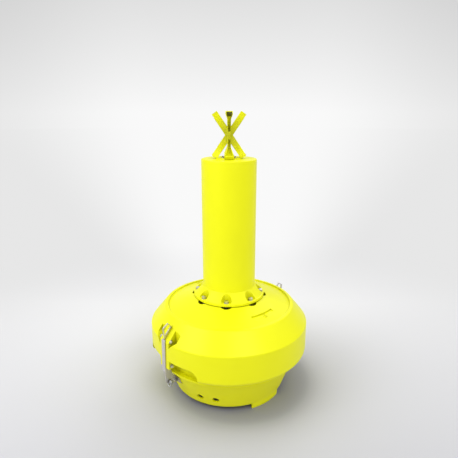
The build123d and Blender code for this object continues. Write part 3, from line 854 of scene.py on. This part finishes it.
class BUOY_OT_topmark(bpy.types.Operator):
    """Topmark of four crossed channels, open outwards, with flared ends"""

    bl_idname = "buoy.topmark"
    bl_label = "Topmark"

    def execute(self, context):
        source = nodes["topmark"]
        cross = source.copy()
        cross.data = source.data.copy()
        named(cross, "topmark_cross")
        context.collection.objects.link(cross)
        edit(cross)
        close_seams(2e-5)
        leave_edit()
        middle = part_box("topmark")[0][2] + 0.164
        reach, flare, foot_knee = 0.1851, 0.036, 0.112
        arms = [
            Matrix.Translation((0, 0, middle))
            @ Matrix.Rotation(math.radians(TOPMARK_TURN + 90 * n), 4, "Z")
            @ Matrix.Rotation(math.radians(TOPMARK_LEAN), 4, "Y")
            for n in range(4)
        ]
        # Each block's name, its two X faces, its half width at the knee and at its end, and the
        # heights along the arm of its start, knee and end
        for operation, blocks in (
            ("UNION", (
                ("horn", -0.0205, 0.0205, 0.0115, 0.0235, 0.120, reach - flare, reach - 0.001),
                ("foot", -0.0215, 0.0215, 0.0115, 0.0325, -0.05, -foot_knee, -reach + 0.009),
            )),
            ("DIFFERENCE", (
                ("upper", -0.012, 0.03, 0.0095, 0.0215, 0.044, reach - flare, reach + 0.0001),
                ("lower", -0.03, 0.012, 0.0095, 0.0290, -0.044, -foot_knee, -reach + 0.006),
            )),
        ):
            tools = []
            for label, *sizes in blocks:
                block = flared_block(label, *sizes)
                tools += [placed_copy(block, f"{label}_{n}", arm) for n, arm in enumerate(arms)]
                bpy.data.objects.remove(block)
            for tool in tools:
                combine(cross, operation, tool)
        shade_hollows(cross, arms, reach)
        smooth(cross, 40)
        fitted(cross, "topmark", "yellow_topmark", BODY, "topmark")
        return {"FINISHED"}


class BUOY_OT_topmark_bolts(bpy.types.Operator):
    """Bolts that hold the topmark's foot plate to the tower"""

    bl_idname = "buoy.topmark_bolts"
    bl_label = "Topmark bolts"

    def execute(self, context):
        bolt = cap_bolt(
            "topmark_bolt", context.scene.buoy_sizes.topmark_bolt_flats, 0.006,
            head=0.0058, radius=0.0048, washer=0.0095, washer_thickness=0.0012, pitch=0.0015,
        )
        plate_thickness = 0.007
        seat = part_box("topmark")[0][2] + plate_thickness
        places = ring_places(0.05991, seat, 4, first=TOPMARK_TURN + 45)
        piece = spread(bolt, "topmark_bolt_set", places)
        bpy.data.objects.remove(bolt)
        fitted(piece, "bolt", "stainless_fasteners", BODY, "topmark_bolts")
        return {"FINISHED"}


class BUOY_OT_strap_bolts(bpy.types.Operator):
    """Through bolts across the two pillars, and the bolts of the straps' feet"""

    bl_idname = "buoy.strap_bolts"
    bl_label = "Strap bolts"

    def execute(self, context):
        sizes = context.scene.buoy_sizes
        flats = sizes.strap_bolt_flats
        pillar, seat = 0.0520, 0.0545
        hole, rim = 0.0082, 0.0150
        through = smooth(joined("through_bolt", [
            chamfered_hexagon("head", flats, seat, 0.0675, False),
            chamfered_hexagon("nut", flats, -0.0645, -seat, True),
            washer_ring("washer", hole, rim, pillar, seat),
            washer_ring("nut_washer", hole, rim, -seat, -pillar),
            threaded_shank("shank", 0.008, -0.0675, seat, -0.0655, -0.045, 0.002),
        ]))
        foot = cap_bolt("foot_bolt", sizes.small_bolt_flats, 0.028, **SMALL_BOLT)
        across = Matrix.Rotation(math.pi / 2, 4, "X")
        slope = Matrix.Rotation(math.pi / 2 + math.atan(SKIRT_SLOPE), 4, "Y")
        outward = Matrix.Translation((0, 0, 0.0075))
        for side, sign in SIDES:
            turn = side_turn(sign)
            places = [turn @ Matrix.Translation((0.580, 0, z)) @ across for z in (0.368, 0.557)]
            piece = spread(through, "strap_bolt_set_" + side, places)
            fitted(piece, "bolt", "stainless_fasteners", BODY, "strap_bolts_" + side)
            places = [
                turn @ Matrix.Translation((0.50026, y, 0.204)) @ slope @ outward
                for y in (0.023, -0.023)
            ]
            piece = spread(foot, "strap_foot_bolt_set_" + side, places)
            fitted(piece, "bolt", "stainless_fasteners", BODY, "strap_foot_bolts_" + side)
        bpy.data.objects.remove(through)
        bpy.data.objects.remove(foot)
        return {"FINISHED"}


class BUOY_OT_deck_plugs(bpy.types.Operator):
    """Filling plugs on the deck's two flats, with a square key in a recess"""

    bl_idname = "buoy.deck_plugs"
    bl_label = "Deck plugs"

    def execute(self, context):
        low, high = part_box("deck_plugs")
        outer, key_room = 0.0167, 0.0100
        depth = high[2] - low[2]
        key_floor = depth - 0.0036
        profile = [
            (0, 0), (outer - 0.001, 0), (outer, 0.001), (outer, depth - 0.002),
            (outer - 0.0006, depth - 0.0006), (outer - 0.002, depth), (key_room + 0.0012, depth),
            (key_room + 0.0004, depth - 0.0008), (key_room, key_floor), (0, key_floor),
        ]
        body = turned("plug_body", profile, 64)
        clear_selection()
        bpy.ops.mesh.primitive_cube_add(size=0.008, location=(0, 0, key_floor))
        key = settled_piece("plug_key")
        edit(key)
        bpy.ops.mesh.bevel(offset=0.0009, segments=3)
        leave_edit()
        plug = smooth(joined("plug", [body, key]))
        piece = spread(plug, "deck_plug_set", ring_places(0.396, low[2], 2, first=90))
        bpy.data.objects.remove(plug)
        fitted(piece, "plug", "yellow_plug", BODY, "deck_plugs")
        return {"FINISHED"}


def forged_bow():
    """The shackle's bow about its pin: a bent rod that swells into two flat-sided eyes."""
    leg_y, leg, rod = 0.0175, 0.028, 0.0065
    eye, eye_length, bore = 0.0145, 0.014, 0.0083
    across = (math.pi / 2, 0, 0)
    clear_selection()
    bpy.ops.mesh.primitive_circle_add(
        vertices=24, radius=rod, fill_type="NGON", location=(0, leg_y, 0)
    )
    bow = settled_piece("bow")
    edit(bow)
    bpy.ops.mesh.extrude_region_move(TRANSFORM_OT_translate={"value": (0, 0, -leg)})
    bpy.ops.mesh.spin(steps=24, angle=math.pi, center=(0, 0, -leg), axis=(1, 0, 0))
    bpy.ops.mesh.extrude_region_move(TRANSFORM_OT_translate={"value": (0, 0, leg)})
    close_seams(1e-5)
    leave_edit()
    eyes = []
    for y in (leg_y, -leg_y):
        clear_selection()
        bpy.ops.mesh.primitive_cylinder_add(
            vertices=48, radius=eye, depth=eye_length, location=(0, y, 0), rotation=across
        )
        boss = settled_piece("eye")
        edit(boss)
        bpy.ops.mesh.bevel(offset=0.0016, segments=3)
        leave_edit()
        eyes.append(boss)
    bow = joined("bow", [bow, *eyes])
    apply_modifier(bow, "REMESH", mode="VOXEL", voxel_size=0.0008)
    apply_modifier(bow, "SMOOTH", factor=0.6, iterations=6)
    clear_selection()
    bpy.ops.mesh.primitive_cylinder_add(vertices=64, radius=bore, depth=0.08, rotation=across)
    return smooth(combine(bow, "DIFFERENCE", settled_piece("bore")), 40)


def headed_pin():
    """The shackle's pin along Z: a domed head, a threaded end, a nut and a split pin."""
    side, end, split_at = 0.0248, 0.0338, 0.0294
    profile = [
        (0, -end), (0.0066, -end), (0.008, 0.0014 - end), (0.008, side), (0.0122, side),
        (0.013, side + 0.0008), (0.013, side + 0.0038), (0.0122, side + 0.0052),
        (0.0100, side + 0.0058), (0, side + 0.0060),
    ]
    shaft = turned("shaft", profile, 48)
    nut = chamfered_hexagon("nut", 0.024, -0.0318, -side, True)
    clear_selection()
    bpy.ops.mesh.primitive_torus_add(
        major_radius=0.0024, minor_radius=0.0008, major_segments=20, minor_segments=10,
        location=(0.0148, 0, -split_at), rotation=(math.pi / 2, 0, 0),
    )
    loop = start_piece("loop")
    clear_selection()
    bpy.ops.mesh.primitive_cylinder_add(
        vertices=12, radius=0.0011, depth=0.0275,
        location=(-0.001, 0, -split_at), rotation=(0, math.pi / 2, 0),
    )
    wire = start_piece("wire")
    edit(wire)
    bpy.ops.mesh.bevel(offset=0.0004, segments=2)
    leave_edit()
    return smooth(joined("pin", [shaft, nut, loop, wire]), 35)


class BUOY_OT_shackles(bpy.types.Operator):
    """Forged mooring shackles with their pins, hanging on the straps' lugs"""

    bl_idname = "buoy.shackles"
    bl_label = "Shackles"

    def execute(self, context):
        bow = forged_bow()
        pin = headed_pin()
        across = Matrix.Rotation(math.pi / 2, 4, "X")
        for side, sign in SIDES:
            place = side_turn(sign) @ Matrix.Translation((0.572, 0, 0.214))
            piece = placed_copy(bow, "forged_bow_" + side, place)
            fitted(piece, "shackle", "galvanised_shackle", "shackle_" + side, "shackle_bow_" + side)
            piece = placed_copy(pin, "headed_pin_" + side, place @ across)
            fitted(piece, "shackle", "galvanised_shackle", "shackle_" + side, "shackle_pin_" + side)
        bpy.data.objects.remove(bow)
        bpy.data.objects.remove(pin)
        return {"FINISHED"}


def weld_bead(name, width, start, end):
    """A rippled weld bead between two points."""
    start, end = Vector(start), Vector(end)
    length = (end - start).length
    clear_selection()
    bpy.ops.mesh.primitive_uv_sphere_add(segments=12, ring_count=8, radius=width / 2)
    bead = start_piece(name)
    edit(bead)
    bpy.ops.transform.resize(value=(1.0, 1.0, 0.7))
    leave_edit()
    step = width * 0.32
    apply_modifier(
        bead, "ARRAY", use_relative_offset=False, use_constant_offset=True,
        constant_offset_displace=(0, 0, step), count=max(2, int((length - width * 0.7) / step)),
    )
    lay = (end - start).to_track_quat("Z", "Y").to_matrix().to_4x4()
    first = start + (end - start).normalized() * width * 0.35
    bead.data.transform(Matrix.Translation(first) @ lay)
    return bead


class BUOY_OT_welds(bpy.types.Operator):
    """Weld beads between each strap's web, its outer bar and its foot"""

    bl_idname = "buoy.welds"
    bl_label = "Welds"

    def execute(self, context):
        width = context.scene.buoy_sizes.weld_width
        foot = [(0.4395 + SKIRT_SLOPE * (z - 0.045) + 0.0116, z) for z in (0.186, 0.224)]
        bar = [(0.6066, 0.306), (0.6064, 0.343)]
        for side, sign in SIDES:
            beads = [
                weld_bead("bead", width, *((x, y, z) for x, z in line))
                for y in (0.0055, -0.0055) for line in (foot, bar)
            ]
            piece = smooth(joined("strap_welds_" + side, beads), 60)
            if sign < 0:
                piece.data.transform(side_turn(sign))
            fitted(piece, "weld", "stainless_strap", BODY)
        return {"FINISHED"}


class BUOY_OT_stage(bpy.types.Operator):
    """Studio floor, soft light and the camera at the photograph's viewing angle"""

    bl_idname = "buoy.stage"
    bl_label = "Studio"

    def execute(self, context):
        scene = context.scene
        scene.view_settings.view_transform = "Standard"
        groups["falloff"] = make_falloff_group()
        make_floor(tuple(scene.buoy_colours.floor))
        make_world()
        make_lamps()
        camera_data = bpy.data.cameras.new("camera")
        camera = bpy.data.objects.new("camera", camera_data)
        scene.collection.objects.link(camera)
        camera.location = STATION
        camera.rotation_euler = (TILT, 0, -HEADING)
        camera_data.lens = scene.buoy_sizes.camera_lens
        camera_data.sensor_width = 36
        camera_data.clip_end = 200
        scene.camera = camera
        return {"FINISHED"}


def make_falloff_group():
    """How the studio's paper dims sideways from the heading of the photograph."""
    group, entry, leave = effect_group(
        "paper fall-off",
        (("Direction", "NodeSocketVector", (0, 0, 0)),),
        (("Level", "NodeSocketFloat"),),
    )
    split = split_node(group, entry.outputs["Direction"])
    heading = math_node(group, "ARCTAN2", split["X"], split["Y"])
    aside = math_node(group, "ABSOLUTE", math_node(group, "SUBTRACT", heading, HEADING))
    level = range_node(group, aside, 0.18, 0.56, 1.0, 0.84, eased=True)
    group.links.new(level, leave.inputs["Level"])
    return group


def either(tree, mask, *others):
    """The highest of several masks."""
    for other in others:
        mask = math_node(tree, "MAXIMUM", mask, other)
    return mask


def make_floor(colour):
    """A paper floor that keeps the buoy's shadow and meets the backdrop without an edge.

    What the camera and the metal see has a painted shadow round the buoy, bluish in its darkest
    part, and is painted lighter towards the back; the light that the floor gives back is even. From
    below it is clear to the camera, which shows the underside.
    """
    clear_selection()
    bpy.ops.mesh.primitive_circle_add(vertices=96, radius=60, fill_type="NGON")
    floor = start_piece("studio_floor")
    material, tree, shader, position = start_material("studio floor")
    shader.inputs["Roughness"].default_value = 0.9
    shader.inputs["Specular IOR Level"].default_value = 0.1
    rays = tree.nodes.new("ShaderNodeLightPath").outputs
    seen = either(tree, rays["Is Camera Ray"], rays["Is Glossy Ray"])

    # Painted shadow: the floor as the camera sees it is darker close to the buoy.
    rings = tree.nodes.new("ShaderNodeFloatCurve")
    curve = rings.mapping.curves[0]
    curve.points[0].location = (0.0, 0.30)
    curve.points[1].location = (1.0, 0.96)
    for place, level in (
        (0.25, 0.46), (0.30, 0.64), (0.35, 0.80), (0.425, 0.90), (0.5, 0.93), (0.7, 0.96),
    ):
        curve.points.new(place, level)
    rings.mapping.update()
    away = measure_node(tree, "DISTANCE", position, (0.06, -0.05, 0))
    tree.links.new(math_node(tree, "MULTIPLY", away, 0.5), rings.inputs["Value"])
    # Painted light: the floor as the camera sees it grows lighter towards the back.
    depth = measure_node(tree, "DOT_PRODUCT", position, (math.sin(HEADING), math.cos(HEADING), 0))
    back = range_node(tree, depth, -1.0, 1.4, 0.93, 1.46)
    tone = tree.nodes.new("ShaderNodeMix")
    tree.links.new(seen, tone.inputs[0])
    tone.inputs[2].default_value = FLOOR_BOUNCE
    tree.links.new(math_node(tree, "MULTIPLY", rings.outputs[0], back), tone.inputs[3])
    shade = tree.nodes.new("ShaderNodeMix")
    shade.data_type = "RGBA"
    shade.clamp_result = False
    shade.clamp_factor = False
    tree.links.new(tone.outputs[0], shade.inputs[0])
    # Bluish dark end, which tints the painted shadow blue.
    shade.inputs[6].default_value = (0, 0, 0.07, 1)
    shade.inputs[7].default_value = (*colour, 1)
    tree.links.new(shade.outputs[2], shader.inputs["Base Color"])

    sides = place_group(tree, groups["falloff"], Direction=position).outputs["Level"]
    level = math_node(tree, "MULTIPLY", sides, PAPER_LEVEL)
    grey = tree.nodes.new("ShaderNodeCombineColor")
    for socket in grey.inputs[:3]:
        tree.links.new(level, socket)
    paper = tree.nodes.new("ShaderNodeEmission")
    tree.links.new(grey.outputs[0], paper.inputs["Color"])
    far = range_node(tree, measure_node(tree, "LENGTH", position), 1.0, 4.0, 0.0, 1.0, eased=True)
    far = math_node(tree, "MULTIPLY", seen, far)
    surface = mix_shaders(tree, far, shader.outputs[0], paper.outputs[0])
    below = tree.nodes.new("ShaderNodeNewGeometry").outputs["Backfacing"]
    below = math_node(tree, "MULTIPLY", below, rays["Is Camera Ray"])
    clear = tree.nodes.new("ShaderNodeBsdfTransparent").outputs[0]
    surface = mix_shaders(tree, below, surface, clear)
    tree.links.new(surface, tree.nodes["Material Output"].inputs["Surface"])
    floor.data.materials.append(material)


def make_world():
    """Soft dome light, with a pale backdrop for what the camera and the metal see, painted darker
    above the horizon and to the sides and lighter again near the top.
    """
    world = bpy.data.worlds.new("studio")
    bpy.context.scene.world = world
    world.use_nodes = True
    tree = world.node_tree
    tree.nodes.clear()
    direction = tree.nodes.new("ShaderNodeTexCoord").outputs["Generated"]
    height = split_node(tree, direction)["Z"]
    sides = place_group(tree, groups["falloff"], Direction=direction).outputs["Level"]
    rise = range_node(tree, height, 0.0, 0.30, PAPER_LEVEL, PAPER_LEVEL * 0.72)
    rise = math_node(tree, "ADD", rise, range_node(tree, height, 0.4, 0.8, 0.0, 0.35))
    backdrop = tree.nodes.new("ShaderNodeBackground")
    tree.links.new(math_node(tree, "MULTIPLY", sides, rise), backdrop.inputs["Color"])
    ramp = tree.nodes.new("ShaderNodeValToRGB")
    tree.links.new(range_node(tree, height, 0.0, 1.0, 0.0, 1.0), ramp.inputs[0])
    for mark, level in zip(ramp.color_ramp.elements, (DOME_LOW, DOME_HIGH)):
        mark.color = (level, level, level, 1)
    dome = tree.nodes.new("ShaderNodeBackground")
    tree.links.new(ramp.outputs["Color"], dome.inputs["Color"])
    rays = tree.nodes.new("ShaderNodeLightPath").outputs
    seen = either(tree, rays["Is Camera Ray"], rays["Is Glossy Ray"], rays["Is Transmission Ray"])
    light = mix_shaders(tree, seen, dome.outputs[0], backdrop.outputs[0])
    output = tree.nodes.new("ShaderNodeOutputWorld")
    tree.links.new(light, output.inputs["Surface"])


def make_lamps():
    """Large soft lamps all round that aim at the float, the strongest at its left and front."""
    for name, place, size, power in LAMPS:
        data = bpy.data.lights.new(name, "AREA")
        data.size = size
        data.energy = power
        lamp = bpy.data.objects.new(name, data)
        bpy.context.scene.collection.objects.link(lamp)
        lamp.location = place
        aim = Vector(LAMP_AIM) - Vector(place)
        lamp.rotation_euler = aim.to_track_quat("-Z", "Y").to_euler()


class BUOY_PT_panel(bpy.types.Panel):
    """Lists the buoy's sizes, colours and steps"""

    bl_label = "Navigation buoy"
    bl_idname = "BUOY_PT_panel"
    bl_space_type = "VIEW_3D"
    bl_region_type = "UI"
    bl_category = "Buoy"

    def draw(self, context):
        layout = self.layout
        for group in (context.scene.buoy_sizes, context.scene.buoy_colours):
            for name in group.__annotations__:
                layout.prop(group, name)
        for operator in OPERATORS:
            layout.operator(operator.bl_idname)


OPERATORS = (
    BUOY_OT_finishes, BUOY_OT_tower_bolts, BUOY_OT_base_bolts, BUOY_OT_topmark,
    BUOY_OT_topmark_bolts, BUOY_OT_strap_bolts, BUOY_OT_deck_plugs, BUOY_OT_shackles,
    BUOY_OT_welds, BUOY_OT_stage,
)
CLASSES = (BuoyColours, BuoySizes, *OPERATORS, BUOY_PT_panel)


def register():
    for item in CLASSES:
        bpy.utils.register_class(item)
    bpy.types.Scene.buoy_colours = PointerProperty(type=BuoyColours)
    bpy.types.Scene.buoy_sizes = PointerProperty(type=BuoySizes)


def unregister():
    del bpy.types.Scene.buoy_sizes
    del bpy.types.Scene.buoy_colours
    for item in reversed(CLASSES):
        bpy.utils.unregister_class(item)


def main():
    register()
    bpy.ops.buoy.finishes()
    bpy.ops.buoy.tower_bolts()
    bpy.ops.buoy.base_bolts()
    bpy.ops.buoy.topmark()
    bpy.ops.buoy.topmark_bolts()
    bpy.ops.buoy.strap_bolts()
    bpy.ops.buoy.deck_plugs()
    bpy.ops.buoy.shackles()
    bpy.ops.buoy.welds()
    bpy.ops.buoy.stage()


if __name__ == "__main__":
    main()
